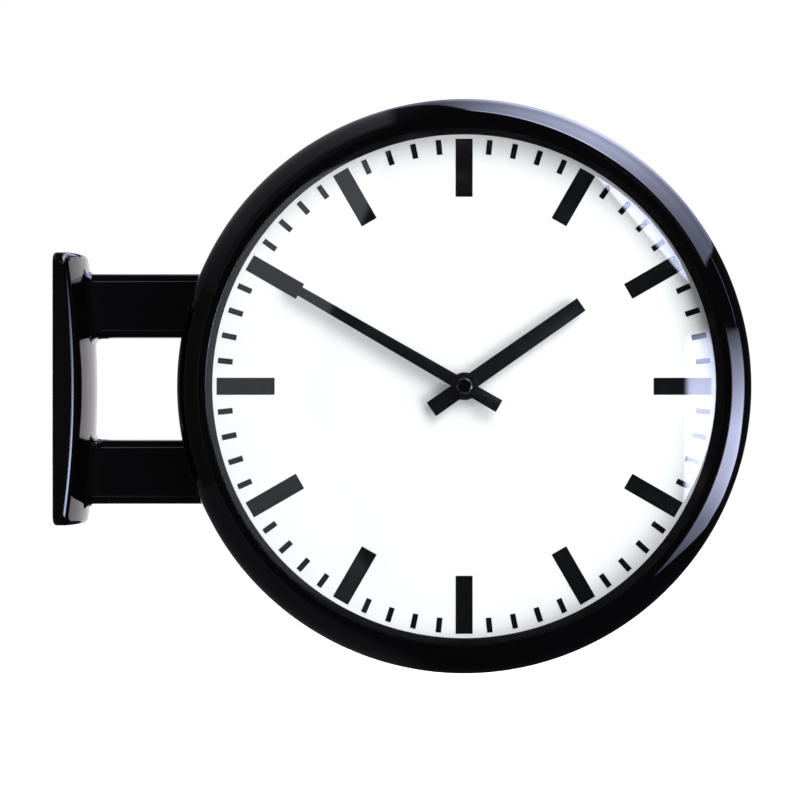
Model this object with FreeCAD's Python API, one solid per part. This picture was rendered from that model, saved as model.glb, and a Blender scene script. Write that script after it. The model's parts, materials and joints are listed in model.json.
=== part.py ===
import FreeCAD, Part
import math
import os

V = FreeCAD.Vector

# Row frame: origin at the middle of the wall plate's back, +X away from the wall,
# +Z up, the front dial faces -Y. A clock half is drawn around its own centre:
# u to the right and v up as the viewer sees the dial, d the depth from the middle
# plane towards that viewer. The rear half is the front half turned about +Z.

# Case and bezel
case_d = 310.0
case_depth = 84.0
bezel_r = case_d / 2
bezel_wall = 3.0
bezel_round = 14.0
band_step = 2.0
band_r = bezel_r - band_step
band_half = 17.8
band_wall = 4.0
skirt_gap = 0.5
rim_r = bezel_r - bezel_wall - skirt_gap
lens_apex_d = case_depth / 2
lip_w = 2.3
lip_r = bezel_r - bezel_round - lip_w
crest_drop = 4.0
crest_d = lens_apex_d - crest_drop
lip_h = 1.3
dome_rise = 6.0
lip_d = lens_apex_d - dome_rise

# Lens, lens ring and dial
lens_t = 2.2
lens_lap = 2.2
lens_edge_r = lip_r + lens_lap
lens_dome_r = lip_r - skirt_gap
seat_gap = 0.4
rib_t = 2.0
rib_foot = 1.0
ring_inset = 1.3
ring_foot_r = lip_r - ring_inset
ring_top_r = ring_foot_r + 1.1
ring_bevel = 0.4
dial_drop = 12.0
dial_d = lip_d - dial_drop
ring_foot_d = dial_d + 0.35
dial_t = 1.5
dial_back_d = dial_d - dial_t
dial_r = band_r - band_wall - skirt_gap
ledge_t = 2.0
ledge_w = 7.5
ledge_r = dial_r - ledge_w
hoop_gap = 0.6
hoop_t = 2.0
mark_t = 0.12
mark_margin = 3.9
mark_r = ring_foot_r - mark_margin
hour_mark_l, hour_mark_w = 31.3, 9.2
minute_mark_l, minute_mark_w = 8.0, 3.0

# Movement, t is the depth behind the dial's back
move_side = 56.0
move_corner_r = 3.0
move_wall = 1.4
move_t = 14.9
cover_t = 1.2
bay_v = -10.9
bay_wall = 1.1
bush_r = 4.0
bush_h = 3.6
bush_top_d = dial_d + bush_h
bush_gap = 0.2
nut_flats = 10.5
nut_h = 2.2
tube_r = 2.5
arbor_r = 1.6
fit = 0.05
pin_r = 0.4
pin_front_t = 0.7
pin_back_t = move_t + 0.8
bridge_t0 = 6.0
bridge_t1 = 6.7
bay_half = move_side / 2 - move_wall
battery_r = 7.1
battery_v = -19.3
battery_t = 8.6
battery_back_u = 1.5 - bay_half
battery_front_u = bay_half - 2.5
nub_r, nub_l = 2.6, 1.2
board_edge = move_side / 2 - 2.0
board_back_u = -8.0
board_low_v = 12.6

# Wheel train: teeth, module and layer of every toothed part
cannon_teeth, intermediate_teeth, hour_teeth = 12, 36, 48
work_module = 0.25
work_distance = work_module * (cannon_teeth + hour_teeth) / 2
cannon_module = 2 * work_distance / (cannon_teeth + intermediate_teeth)
centre_teeth, third_teeth, second_teeth, fifth_teeth = 64, 60, 32, 60
leaves = 8
centre_module = 0.2
third_distance = centre_module * (centre_teeth + leaves) / 2
third_module = 2 * third_distance / (third_teeth + leaves)
second_module = 0.25
fifth_distance = second_module * (second_teeth + leaves) / 2
fifth_module = 0.13
rotor_distance = fifth_module * (fifth_teeth + leaves) / 2
hour_layer = (1.7, 2.7)
work_layer = (3.1, 4.1)
centre_layer = (4.5, 5.5)
third_layer = (7.2, 8.2)
second_layer = (8.8, 9.8)
fifth_layer = (10.3, 11.1)
magnet_layer = (11.6, 14.0)
board_layer = (12.5, 13.5)
chip_t = 0.7
stator_layer = (12.2, 13.0)


def polar(radius, degrees):
    return (
        radius * math.cos(math.radians(degrees)),
        radius * math.sin(math.radians(degrees)),
    )


work_line, third_line, fifth_line, rotor_line = 0.0, 115.0, 235.0, 180.0
work_at = polar(work_distance, work_line)
third_at = polar(third_distance, third_line)
fifth_at = polar(fifth_distance, fifth_line)
rotor_at = (
    fifth_at[0] + polar(rotor_distance, rotor_line)[0],
    fifth_at[1] + polar(rotor_distance, rotor_line)[1],
)
bridge_posts = [(-11.0, 10.0), (11.0, 9.5), (-11.0, -7.5), (11.0, -8.5)]
board_posts = [(-5.0, 23.0), (23.0, 23.0), (23.0, 14.5)]

# Hands, both stored at ten to two
hour_angle, minute_angle = 55.0, 300.0
boss_h = 1.4
blade_h = 0.8
hand_gap = 0.4
hour_hand_d = bush_top_d + hand_gap
minute_hand_d = hour_hand_d + boss_h + 2 * hand_gap
arbor_rise = 0.6
hour_short, minute_short = 60.6, 27.8
hour_reach, minute_reach = ring_foot_r - hour_short, ring_foot_r - minute_short
hour_blade = (hour_reach, 21.7, 8.9, 8.1)
minute_blade = (minute_reach, 21.5, 7.3, 5.1)
hour_boss_r = 7.5
minute_boss_r = 6.5
cap_r = 4.4
cap_h = 1.9

# Bracket: the drum's band stands off the wall by the drum gap
drum_gap = 68.0
clock_reach = drum_gap + band_r
clock_rise = 1.4
cover_w = 70.0
cover_h = 147.0
cover_crown = 19.4
cover_sag_y = 7.0
cover_sag_z = 5.4
cover_wall = 2.5
cover_edge_r = 3.0
cover_corner_r = 6.0
arm_z = 45.25
arm_h = 34.9
arm_w = 26.0
arm_edge_r = 4.5
arm_wall = 3.0
arm_root_r = 4.0
arm_start = 9.0
arm_overrun = 14.0
plate_t = 2.5
plate_side, plate_margin = 11.0, 7.5
plate_w = cover_w - 2 * plate_side
plate_h = cover_h - 2 * plate_margin
screw_hole_r = 2.75
hole_span_y = 30.0
hole_span_z = 90.0
carrier_x = 6.5
carrier_side, carrier_margin = 6.0, 4.0
carrier_w = plate_w - 2 * carrier_side
carrier_h = plate_h - 2 * carrier_margin
bar_h = 20.0
bar_w = 14.0
bar_wall = 1.5
seat_depth = 22.0
pad_x = drum_gap + seat_depth
pad_w, pad_h = 28.0, 38.0
slot_gap = 0.3
clamp_t = 2.5
clamp_w = pad_w - 2.0
clamp_h = 2 * (arm_z + 16.75)
bolt_r = 2.5
bolt_grip = 12.0
plug_l = 15.0
washer_t = 1.0
washer_r = 5.0
bolt_head_r, bolt_head_h = 4.3, 4.0
tab_w, tab_reach, tab_t = 20.0, 7.0, 2.0
lock_x = 4.5
lock_r, lock_head_r, lock_head_h, lock_l = 1.5, 2.6, 1.6, 10.0
lock_sink = 0.6


def depth(t):
    """Distance d of a plane that lies t behind the dial's back."""
    return dial_back_d - t


def lengthwise(solid, axis="x"):
    """The straight edges of a solid that run along an axis."""
    return [e for e in solid.Edges if abs(getattr(e.tangentAt(e.FirstParameter), axis)) > 0.9]


def disc(radius, d0, d1, at=(0, 0)):
    low, high = min(d0, d1), max(d0, d1)
    return Part.makeCylinder(radius, high - low, V(at[0], -low, at[1]), V(0, -1, 0))


def tube(outer, inner, d0, d1, at=(0, 0)):
    return disc(outer, d0, d1, at).cut(disc(inner, d0, d1, at))


def block(u0, u1, v0, v1, d0, d1):
    low, high = min(d0, d1), max(d0, d1)
    return Part.makeBox(u1 - u0, high - low, v1 - v0, V(u0, -high, v0))


def turned(points):
    """Solid of revolution about the clock's axis from (r, d) points.

    A point with four numbers ends an arc that passes through its first two.
    """
    edges, last = [], points[0]
    for p in points[1:] + points[:1]:
        start, end = V(last[-2], -last[-1], 0), V(p[-2], -p[-1], 0)
        if len(p) == 4:
            edges.append(Part.Arc(start, V(p[0], -p[1], 0), end).toShape())
        else:
            edges.append(Part.makeLine(start, end))
        last = p
    return Part.Face(Part.Wire(edges)).revolve(V(0, 0, 0), V(0, 1, 0), 360)


def prism(points, d0, d1):
    """Extrusion of a (u, v) outline from depth d0 to depth d1."""
    wire = Part.makePolygon([V(u, -d0, v) for u, v in points + points[:1]])
    return Part.Face(wire).extrude(V(0, d0 - d1, 0))


def fuse(shapes):
    return shapes[0].multiFuse(shapes[1:]).removeSplitter()


def toothed(teeth, module, layer, start, at=(0, 0), pinion=False):
    """Toothed disc with one tooth centred on the start angle."""
    pitch = 360.0 / teeth
    radius = module * teeth / 2
    tip, root, wide, narrow = (0.55, 1.2, 0.17, 0.07) if pinion else (0.8, 0.9, 0.2, 0.07)
    outline = []
    for k in range(teeth):
        middle = start + k * pitch
        for r, side in (
            (radius - root * module, -wide),
            (radius, -wide),
            (radius + tip * module, -narrow),
            (radius + tip * module, narrow),
            (radius, wide),
            (radius - root * module, wide),
        ):
            outline.append(polar(r, middle + side * pitch))
    solid = prism(outline, depth(layer[0]), depth(layer[1]))
    solid.translate(V(at[0], 0, at[1]))
    return solid


def arbor(t0, t1, at=(0, 0), radius=pin_r):
    return disc(radius, depth(t0), depth(t1), at)


def meshing(line, teeth):
    """Start angle of a toothed part whose gap faces a tooth that comes along the line."""
    return line + 180 + 180.0 / teeth


# ---- case, bezel, lens and dial ----


def make_bezel():
    skirt_d = band_half + skirt_gap
    centre_r, centre_d = bezel_r - bezel_round, crest_d - bezel_round
    inner = bezel_round - bezel_wall
    rib_in = lens_edge_r + seat_gap
    rib_out = rib_in + rib_t
    rib_top = centre_d + math.sqrt(inner**2 - (rib_out - centre_r) ** 2)
    half = math.sqrt(0.5)
    return turned(
        [
            (lip_r, lip_d),
            (lip_r, lip_d + lip_h),
            (centre_r, crest_d),
            (centre_r + bezel_round * half, centre_d + bezel_round * half, bezel_r, centre_d),
            (bezel_r, skirt_d),
            (bezel_r - bezel_wall, skirt_d),
            (bezel_r - bezel_wall, centre_d),
            (centre_r + inner * half, centre_d + inner * half, rib_out, rib_top),
            (rib_out, dial_d + rib_foot),
            (rib_in, dial_d + rib_foot),
            (rib_in, lip_d),
        ]
    )


def make_lens():
    rise = lens_apex_d - lip_d
    radius = (lens_dome_r**2 + rise**2) / (2 * rise)
    mid_r = lens_dome_r / 2
    mid_drop = radius - math.sqrt(radius**2 - mid_r**2)
    return turned(
        [
            (0, lens_apex_d),
            (mid_r, lens_apex_d - mid_drop, lens_dome_r, lip_d),
            (lens_edge_r, lip_d),
            (lens_edge_r, lip_d - lens_t),
            (lens_dome_r, lip_d - lens_t),
            (mid_r, lens_apex_d - lens_t - mid_drop, 0, lens_apex_d - lens_t),
        ]
    )


def make_lens_ring():
    top_d = lip_d - lens_t
    return turned(
        [
            (ring_foot_r, ring_foot_d + ring_bevel),
            (ring_top_r, top_d),
            (lens_edge_r, top_d),
            (lens_edge_r, ring_foot_d),
            (ring_foot_r + ring_bevel, ring_foot_d),
        ]
    )


def make_dial():
    plate = disc(dial_r, dial_back_d, dial_d)
    hoop_r = ledge_r - hoop_gap
    hoop = tube(hoop_r, hoop_r - hoop_t, dial_back_d - ledge_t, dial_back_d)
    return fuse([plate, hoop]).cut(disc(bush_r + bush_gap, dial_back_d, dial_d))


def make_dial_marks():
    marks = []
    for k in range(60):
        length, width = (minute_mark_l, minute_mark_w) if k % 5 else (hour_mark_l, hour_mark_w)
        mark = block(-width / 2, width / 2, mark_r - length, mark_r, dial_d, dial_d + mark_t)
        mark.rotate(V(0, 0, 0), V(0, 1, 0), 6.0 * k)
        marks.append(mark)
    return Part.makeCompound(marks)


def make_case_ring():
    """Outer band, the two rims that the bezels push over, and the two dial ledges."""
    inner_r = band_r - band_wall
    body = turned(
        [
            (inner_r, -dial_d),
            (rim_r, -dial_d),
            (rim_r, -band_half),
            (band_r, -band_half),
            (band_r, band_half),
            (rim_r, band_half),
            (rim_r, dial_d),
            (inner_r, dial_d),
            (inner_r, dial_back_d),
            (ledge_r, dial_back_d),
            (ledge_r, dial_back_d - ledge_t),
            (inner_r, dial_back_d - ledge_t),
            (inner_r, ledge_t - dial_back_d),
            (ledge_r, ledge_t - dial_back_d),
            (ledge_r, -dial_back_d),
            (inner_r, -dial_back_d),
        ]
    )
    inside = disc(band_r - band_wall / 2, -dial_d, dial_d)
    face_u, back_u = pad_x - clock_reach, -band_r
    heights = [side * arm_z - clock_rise for side in (1, -1)]
    pads = [block(back_u, face_u, v - pad_h / 2, v + pad_h / 2, -pad_w / 2, pad_w / 2) for v in heights]
    body = fuse([body] + [pad.common(inside) for pad in pads])
    half_h, half_w = bar_h / 2 + slot_gap, bar_w / 2 + slot_gap
    for v in heights:
        body = body.cut(block(back_u, face_u, v - half_h, v + half_h, -half_w, half_w))
    return body


# ---- movement ----


def make_movement_case():
    half, wall = move_side / 2, move_wall
    shell = block(-half, half, -half, half, depth(0), depth(move_t))
    shell = shell.makeFillet(move_corner_r, lengthwise(shell, "y"))
    room = block(wall - half, half - wall, wall - half, bay_v - bay_wall, depth(wall), depth(move_t))
    works = block(wall - half, half - wall, bay_v, half - wall, depth(wall), depth(move_t))
    shell = shell.cut(room).cut(works)
    adds = [disc(bush_r, depth(0), bush_top_d)]
    adds += [arbor(0.5, bridge_t0, at, 1.5) for at in bridge_posts]
    adds += [arbor(0.5, board_layer[0], at, 1.5) for at in board_posts]
    shell = fuse([shell] + adds)
    shell = shell.cut(disc(tube_r + fit, depth(wall), bush_top_d))
    for at in (work_at, third_at):
        shell = shell.cut(arbor(pin_front_t - 0.1, wall, at, pin_r + fit))
    return shell


def make_movement_cover():
    half = move_side / 2
    cover = block(-half, half, bay_v - bay_wall, half, depth(move_t), depth(move_t + cover_t))
    for at in ((0, 0), third_at, fifth_at, rotor_at):
        cover = cover.cut(arbor(move_t, pin_back_t + 0.1, at, pin_r + fit))
    return cover.cut(arbor(move_t, move_t + cover_t, work_at, pin_r + fit))


def make_train_bridge():
    plate = block(-13, 13, -10, 12, depth(bridge_t0), depth(bridge_t1))
    plate = plate.cut(arbor(bridge_t0, bridge_t1, (0, 0), 1.2 + fit))
    for at in (third_at, work_at):
        plate = plate.cut(arbor(bridge_t0, bridge_t1, at, 0.8))
    for at in (fifth_at, rotor_at):
        plate = plate.cut(arbor(bridge_t0 + 0.2, bridge_t1, at, pin_r + fit))
    return plate


def make_centre_wheel():
    """Minute arbor with its wheel, the cannon pinion in front and a socket behind."""
    parts = [
        disc(arbor_r, minute_hand_d + boss_h + arbor_rise, depth(work_layer[0] - 0.2)),
        toothed(
            cannon_teeth, cannon_module, (work_layer[0] - 0.2, work_layer[1] + 0.2), work_line, pinion=True
        ),
        toothed(centre_teeth, centre_module, centre_layer, third_line),
        arbor(work_layer[1] + 0.1, centre_layer[0] + 0.1, radius=1.2),
        arbor(centre_layer[0] + 0.1, bridge_t1 - 0.1, radius=1.2),
    ]
    return fuse(parts).cut(arbor(4.8, bridge_t1, radius=pin_r + fit))


def make_intermediate_wheel():
    back = move_t + cover_t + 1.8
    return fuse(
        [
            arbor(pin_front_t, back, work_at),
            toothed(
                cannon_teeth,
                work_module,
                (hour_layer[0] - 0.1, work_layer[0] + 0.1),
                meshing(work_line, cannon_teeth),
                work_at,
                True,
            ),
            toothed(
                intermediate_teeth, cannon_module, work_layer, meshing(work_line, intermediate_teeth), work_at
            ),
        ]
    )


def make_hour_wheel():
    wheel = toothed(hour_teeth, work_module, hour_layer, work_line)
    stem = disc(tube_r, depth(hour_layer[0] + 0.1), hour_hand_d + boss_h + hand_gap)
    bore = disc(arbor_r + fit, depth(hour_layer[1]), hour_hand_d + boss_h + hand_gap)
    return fuse([wheel, stem]).cut(bore)


def make_third_wheel():
    return fuse(
        [
            arbor(pin_front_t, pin_back_t, third_at),
            toothed(
                leaves,
                centre_module,
                (centre_layer[0] - 0.1, centre_layer[1] + 0.1),
                meshing(third_line, leaves),
                third_at,
                True,
            ),
            toothed(third_teeth, third_module, third_layer, third_line + 180, third_at),
        ]
    )


def make_second_wheel():
    return fuse(
        [
            arbor(4.9, pin_back_t),
            toothed(
                leaves,
                third_module,
                (third_layer[0] - 0.1, third_layer[1] + 0.2),
                third_line + 180.0 / leaves,
                pinion=True,
            ),
            toothed(second_teeth, second_module, second_layer, fifth_line),
        ]
    )


def make_fifth_wheel():
    return fuse(
        [
            arbor(bridge_t0 + 0.3, pin_back_t, fifth_at),
            toothed(
                leaves,
                second_module,
                (second_layer[0] - 0.1, second_layer[1] + 0.1),
                meshing(fifth_line, leaves),
                fifth_at,
                True,
            ),
            toothed(fifth_teeth, fifth_module, fifth_layer, rotor_line, fifth_at),
        ]
    )


def make_rotor():
    return fuse(
        [
            arbor(bridge_t0 + 0.3, pin_back_t, rotor_at),
            toothed(
                leaves,
                fifth_module,
                (fifth_layer[0] - 0.1, fifth_layer[1] + 0.1),
                meshing(rotor_line, leaves),
                rotor_at,
                True,
            ),
            arbor(magnet_layer[0], magnet_layer[1], rotor_at, 2.2),
        ]
    )


def make_stator():
    d0, d1 = depth(stator_layer[0]), depth(stator_layer[1])
    u, v = rotor_at
    parts = [
        block(u - 3.6, u + 3.6, v - 3.6, v + 3.6, d0, d1),
        block(-24.0, u, v - 4.9, v - 2.9, d0, d1),
        block(u - 3.6, u - 0.6, v, 12.0, d0, d1),
        block(-24.0, u - 1.0, 9.5, 12.0, d0, d1),
    ]
    return fuse(parts).cut(disc(2.6, d0, d1, rotor_at))


def make_coil():
    v0, v1 = rotor_at[1] - 4.9, 12.0
    middle = V(-22.5, -depth(11.7), 0)
    core = block(-24.0, -21.0, v0, v1, depth(stator_layer[0] - 1.0), depth(stator_layer[0]))
    winding = Part.makeCylinder(2.9, 11.0, middle + V(0, 0, -4.5), V(0, 0, 1))
    ends = [Part.makeCylinder(3.1, 1.0, middle + V(0, 0, z), V(0, 0, 1)) for z in (-5.5, 6.5)]
    gap = block(-27, -18, v0 - 1, -5.5, depth(stator_layer[0]), depth(stator_layer[0] + 4))
    return fuse([core, winding] + ends).cut(gap)


def make_circuit_board():
    board = block(
        board_back_u, board_edge, board_low_v, board_edge, depth(board_layer[0]), depth(board_layer[1])
    )
    chip = disc(3.0, depth(board_layer[1]), depth(board_layer[1] + chip_t), (4.0, 19.0))
    crystal = Part.makeCylinder(1.0, 6.0, V(13.0, -depth(board_layer[0] - 0.9), 18.0), V(1, 0, 0))
    return fuse([board, chip, crystal])


def make_battery():
    length = battery_front_u - battery_back_u
    body = Part.makeCylinder(
        battery_r, length, V(battery_back_u, -depth(battery_t), battery_v), V(1, 0, 0)
    )
    body = body.makeFillet(0.6, [e for e in body.Edges if e.Closed])
    start = V(battery_front_u - 0.1, -depth(battery_t), battery_v)
    nub = Part.makeCylinder(nub_r, nub_l + 0.1, start, V(1, 0, 0))
    return fuse([body, nub])


def make_battery_contacts():
    middle = (-depth(battery_t), battery_v)
    tags = []
    for side, reach in ((1, battery_front_u + nub_l), (-1, -battery_back_u)):
        u0, u1 = sorted((side * bay_half, side * (bay_half - 0.5)))
        tag = block(u0, u1, battery_v - 5, battery_v + 5, depth(battery_t - 4), depth(battery_t + 5))
        bump = Part.makeCylinder(2.0, bay_half - reach, V(side * reach, *middle), V(side, 0, 0))
        tags.append(fuse([tag, bump]))
    return Part.makeCompound(tags)


def make_setting_knob():
    t0 = move_t + cover_t + 0.4
    knob = arbor(t0, t0 + 2.6, work_at, 4.5)
    for k in range(18):
        u, v = polar(4.6, 20.0 * k)
        knob = knob.cut(arbor(t0, t0 + 2.6, (work_at[0] + u, work_at[1] + v), 0.4))
    return knob.cut(arbor(t0, move_t + cover_t + 1.8, work_at))


def make_mounting_nut():
    corners = [polar(nut_flats / math.sqrt(3), 60.0 * k) for k in range(6)]
    return prism(corners, dial_d, dial_d + nut_h).cut(disc(bush_r, dial_d, dial_d + nut_h))


def make_hand(blade, boss_r, bore_r, d0, angle):
    reach, tail, wide, narrow = blade
    low = d0 + (boss_h - blade_h) / 2
    outline = [(-wide / 2, -tail), (wide / 2, -tail), (narrow / 2, reach), (-narrow / 2, reach)]
    hand = fuse([prism(outline, low, low + blade_h), disc(boss_r, d0, d0 + boss_h)])
    hand = hand.cut(disc(bore_r, d0, d0 + boss_h))
    hand.rotate(V(0, 0, 0), V(0, 1, 0), angle)
    return hand


def make_hand_cap():
    d0 = minute_hand_d + boss_h
    cap = disc(cap_r, d0, d0 + cap_h)
    front = [e for e in cap.Edges if e.Closed and abs(e.CenterOfMass.y + d0 + cap_h) < 0.01]
    return cap.makeFillet(1.2, front).cut(disc(arbor_r, d0, d0 + arbor_rise))


# ---- bracket ----


def crowned(inset):
    """The wall cover's crowned block, made smaller all round by the inset."""
    crown, sag_y = cover_crown - inset, cover_sag_y
    half_w, half_h = cover_w / 2, cover_h / 2
    big_r = (half_h**2 + cover_sag_z**2) / (2 * cover_sag_z)
    foot = -5.0
    edges = [
        Part.Arc(V(crown - sag_y, -half_w, 0), V(crown, 0, 0), V(crown - sag_y, half_w, 0)).toShape(),
        Part.makeLine(V(crown - sag_y, half_w, 0), V(foot, half_w, 0)),
        Part.makeLine(V(foot, half_w, 0), V(foot, -half_w, 0)),
        Part.makeLine(V(foot, -half_w, 0), V(crown - sag_y, -half_w, 0)),
    ]
    face = Part.Face(Part.Wire(edges))
    centre = V(cover_crown - big_r, 0, 0)
    face.rotate(centre, V(0, 1, 0), -12)
    dome = face.revolve(centre, V(0, 1, 0), 24)
    hull = Part.makeBox(
        cover_crown + 1, cover_w - 2 * inset, cover_h - 2 * inset, V(0, inset - half_w, inset - half_h)
    )
    corner = max(cover_corner_r - inset, 1.0)
    hull = hull.makeFillet(corner, lengthwise(hull))
    return dome.common(hull)


def arm(inset, side):
    """One straight arm from inside the cover to inside the case band."""
    x0, x1 = arm_start, clock_reach - band_r + arm_overrun
    half_w, half_h = arm_w / 2 - inset, arm_h / 2 - inset
    body = Part.makeBox(x1 - x0, 2 * half_w, 2 * half_h, V(x0, -half_w, side * arm_z - half_h))
    return body.makeFillet(arm_edge_r - inset, lengthwise(body))


def make_bracket_cover():
    """Crowned wall cover and both arms, one hollow moulding that seats on the case band."""
    skin = crowned(0)
    rim = [e for e in skin.Edges if e.CenterOfMass.x > cover_edge_r and e.BoundBox.XMin > 1]
    body = fuse([skin.makeFillet(cover_edge_r, rim)] + [arm(0, side) for side in (1, -1)])
    roots = [
        e
        for e in body.Edges
        if e.BoundBox.XMin > arm_start
        and e.BoundBox.XMax < cover_crown + 1
        and e.BoundBox.YMin > -arm_w / 2 - 0.1
        and e.BoundBox.YMax < arm_w / 2 + 0.1
        and abs(abs(e.CenterOfMass.z) - arm_z) < arm_h / 2 + 0.1
    ]
    body = body.makeFillet(arm_root_r, roots).cut(crowned(cover_wall))
    for side in (1, -1):
        body = body.cut(arm(arm_wall, side)).cut(lock_screw(side, 2 * lock_sink))
    drum = Part.makeCylinder(band_r, 2 * dial_d, V(clock_reach, -dial_d, clock_rise), V(0, 1, 0))
    return body.cut(drum)


def tunnel(radius, length, x, y, z, along=(1, 0, 0)):
    return Part.makeCylinder(radius, length, V(x, y, z), V(*along))


def screw_places():
    return [(y * hole_span_y / 2, z * hole_span_z / 2) for y in (1, -1) for z in (1, -1)]


def make_wall_plate():
    """Steel plate for the wall, with a tab at each end for a locking screw."""
    half_h = plate_h / 2
    plate = Part.makeBox(plate_t, plate_w, plate_h, V(0, -plate_w / 2, -half_h))
    for z0 in (half_h - tab_t, -half_h):
        plate = plate.fuse(Part.makeBox(tab_reach, tab_w, tab_t, V(0, -tab_w / 2, z0)))
        plate = plate.cut(tunnel(lock_r, 4 * tab_t, lock_x, 0, z0 - tab_t, (0, 0, 1)))
    for y, z in screw_places():
        plate = plate.cut(tunnel(screw_hole_r, plate_t, 0, y, z))
    return plate.removeSplitter()


def make_carrier():
    """Steel carrier inside the cover, with feet that stand on the wall plate."""
    half_w, half_h = carrier_w / 2, carrier_h / 2
    body = Part.makeBox(plate_t, carrier_w, carrier_h, V(carrier_x, -half_w, -half_h))
    for z0 in (half_h - plate_t, -half_h):
        foot = Part.makeBox(carrier_x, carrier_w, plate_t, V(plate_t, -half_w, z0))
        body = body.fuse(foot)
    for y, z in screw_places():
        body = body.cut(tunnel(2 * screw_hole_r, plate_t, carrier_x, y, z))
    return body.removeSplitter()


def along_arms(maker):
    solids = []
    for side in (1, -1):
        solid = maker()
        solid.translate(V(0, 0, side * arm_z))
        solids.append(solid)
    return Part.makeCompound(solids)


def bar():
    x0 = carrier_x + plate_t
    outer = Part.makeBox(pad_x - x0, bar_w, bar_h, V(x0, -bar_w / 2, -bar_h / 2))
    return outer.cut(bar_core(x0))


def bar_core(x0):
    """The room inside a bar from x0 to its end in the drum."""
    w, h = bar_w - 2 * bar_wall, bar_h - 2 * bar_wall
    return Part.makeBox(pad_x - x0, w, h, V(x0, -w / 2, -h / 2))


def plug():
    return bar_core(pad_x - plug_l).cut(tunnel(bolt_r, plug_l, pad_x - plug_l, 0, 0))


def bolt():
    x0 = pad_x + clamp_t + washer_t
    shank = tunnel(bolt_r, x0 - pad_x + bolt_grip, pad_x - bolt_grip, 0, 0)
    head = tunnel(bolt_head_r, bolt_head_h, x0, 0, 0)
    sink = x0 + 0.4 * bolt_head_h
    corners = [V(sink, *polar(0.55 * bolt_head_r, 60.0 * k)) for k in range(7)]
    socket = Part.Face(Part.makePolygon(corners)).extrude(V(bolt_head_h, 0, 0))
    return shank.fuse(head).cut(socket).removeSplitter()


def washer():
    x0 = pad_x + clamp_t
    return tunnel(washer_r, washer_t, x0, 0, 0).cut(tunnel(bolt_r, washer_t, x0, 0, 0))


def make_clamp_plate():
    plate = Part.makeBox(clamp_t, clamp_w, clamp_h, V(pad_x, -clamp_w / 2, -clamp_h / 2))
    for z in (arm_z, -arm_z):
        plate = plate.cut(tunnel(bolt_r, clamp_t, pad_x, 0, z))
    return plate


def lock_screw(side, extra):
    """One locking screw, or the room for it when its head is made longer by the extra."""
    top = side * (cover_h / 2 - lock_sink + extra)
    down = (0, 0, -side)
    shank = tunnel(lock_r, lock_l + extra, lock_x, 0, top, down)
    return shank.fuse(tunnel(lock_head_r, lock_head_h + extra, lock_x, 0, top, down)).removeSplitter()


half_nodes = {
    "bezel": make_bezel(),
    "lens": make_lens(),
    "lens_ring": make_lens_ring(),
    "dial": make_dial(),
    "dial_marks": make_dial_marks(),
    "movement_case": make_movement_case(),
    "movement_cover": make_movement_cover(),
    "train_bridge": make_train_bridge(),
    "circuit_board": make_circuit_board(),
    "coil": make_coil(),
    "stator": make_stator(),
    "rotor": make_rotor(),
    "fifth_wheel": make_fifth_wheel(),
    "second_wheel": make_second_wheel(),
    "third_wheel": make_third_wheel(),
    "centre_wheel": make_centre_wheel(),
    "intermediate_wheel": make_intermediate_wheel(),
    "hour_wheel": make_hour_wheel(),
    "setting_knob": make_setting_knob(),
    "battery": make_battery(),
    "battery_contacts": make_battery_contacts(),
    "mounting_nut": make_mounting_nut(),
    "hour_hand": make_hand(hour_blade, hour_boss_r, tube_r, hour_hand_d, hour_angle),
    "minute_hand": make_hand(minute_blade, minute_boss_r, arbor_r, minute_hand_d, minute_angle),
    "hand_cap": make_hand_cap(),
}

nodes = {}
for name, shape in half_nodes.items():
    for prefix, turn in (("front_", 0), ("rear_", 180)):
        half = shape.copy()
        half.rotate(V(0, 0, 0), V(0, 0, 1), turn)
        half.translate(V(clock_reach, 0, clock_rise))
        nodes[prefix + name] = half

case_ring = make_case_ring()
case_ring.translate(V(clock_reach, 0, clock_rise))
nodes["case_ring"] = case_ring
nodes["bracket_cover"] = make_bracket_cover()
nodes["wall_plate"] = make_wall_plate()
nodes["carrier"] = make_carrier()
nodes["arm_bars"] = along_arms(bar)
nodes["bar_plugs"] = along_arms(plug)
nodes["clamp_plate"] = make_clamp_plate()
nodes["clamp_bolts"] = along_arms(bolt)
nodes["clamp_washers"] = along_arms(washer)
nodes["locking_screws"] = Part.makeCompound([lock_screw(side, 0) for side in (1, -1)])

os.makedirs("parts", exist_ok=True)
for name, shape in nodes.items():
    shape.exportStep("parts/" + name + ".step")
print(len(nodes), "nodes")
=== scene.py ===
import bpy
import json
import math
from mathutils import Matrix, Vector


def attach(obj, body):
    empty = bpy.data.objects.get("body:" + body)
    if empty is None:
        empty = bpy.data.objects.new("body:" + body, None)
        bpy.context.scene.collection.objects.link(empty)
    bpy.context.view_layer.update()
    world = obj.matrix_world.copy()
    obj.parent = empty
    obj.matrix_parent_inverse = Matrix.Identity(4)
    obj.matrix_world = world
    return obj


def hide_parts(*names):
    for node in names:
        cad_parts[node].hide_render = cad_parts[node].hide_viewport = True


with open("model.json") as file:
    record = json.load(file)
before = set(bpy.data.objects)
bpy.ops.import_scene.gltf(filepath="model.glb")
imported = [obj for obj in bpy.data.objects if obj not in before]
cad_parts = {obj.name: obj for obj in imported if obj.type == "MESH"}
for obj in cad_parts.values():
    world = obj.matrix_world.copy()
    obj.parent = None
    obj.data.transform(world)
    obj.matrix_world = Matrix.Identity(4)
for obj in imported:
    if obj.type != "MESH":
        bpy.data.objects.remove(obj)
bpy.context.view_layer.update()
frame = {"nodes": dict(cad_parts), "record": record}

mm = 0.001

# the clock's axis in the row's frame, and how the two dials are turned
clock = {"x": 221 * mm, "z": 1.4 * mm, "hourHand": 55.0, "minuteHand": 300.0}


# helpers for modelling

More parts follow.
